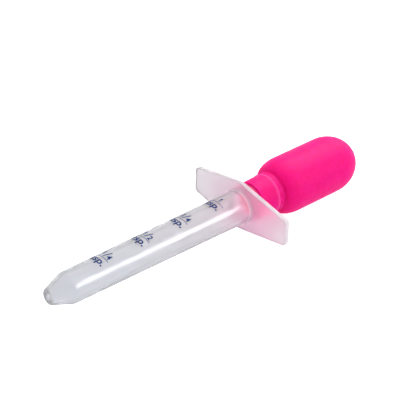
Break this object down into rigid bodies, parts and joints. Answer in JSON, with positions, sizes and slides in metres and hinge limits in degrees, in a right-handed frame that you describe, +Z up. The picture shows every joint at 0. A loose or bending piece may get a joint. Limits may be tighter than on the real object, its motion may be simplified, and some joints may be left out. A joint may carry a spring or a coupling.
{
  "type": "medicine dropper",
  "caption": "Oral medicine dropper: clear tapered dosing barrel with a conical tip and a hexagonal finger flange, and a soft squeeze bulb that pulls off its spigot.",
  "frame": {"origin": "on the dropper's axis, halfway between the tip and the end of the bulb, which is the centre of the bounding box", "axes": "+X along the dropper's axis from the tip to the bulb; +Z up through the side that carries the dosing scale, across the flange's short side; +Y along the flange's long side"},
  "size_m": [0.14, 0.0468, 0.021],
  "materials": {
    "clear_barrel": "translucent natural polypropylene, moulded gloss",
    "pink_bulb": "soft hot-pink vinyl with a fine matt texture",
    "scale_ink": "matt blue pad-printed dosing scale"
  },
  "bodies": {
    "barrel": {"barrel": "clear_barrel"},
    "bulb": {"bulb": "pink_bulb"},
    "squeeze_wall_near": {"squeeze_wall_near": "pink_bulb"},
    "squeeze_wall_far": {"squeeze_wall_far": "pink_bulb"}
  },
  "joints": [
    {"name": "bulb_pull_off", "type": "slide", "parent": "barrel", "child": "bulb", "axis": [1, 0, 0], "range_m": [0, 0.02]},
    {"name": "bulb_squeeze", "type": "slide", "parent": "bulb", "child": "squeeze_wall_near", "axis": [0, 1, 0], "range_m": [0, 0.006]},
    {"name": "bulb_squeeze_far", "type": "slide", "parent": "bulb", "child": "squeeze_wall_far", "axis": [0, -1, 0], "range_m": [0, 0.006]}
  ],
  "couplings": [
    {"joint": "bulb_squeeze_far", "follows": "bulb_squeeze", "ratio": 1}
  ]
}
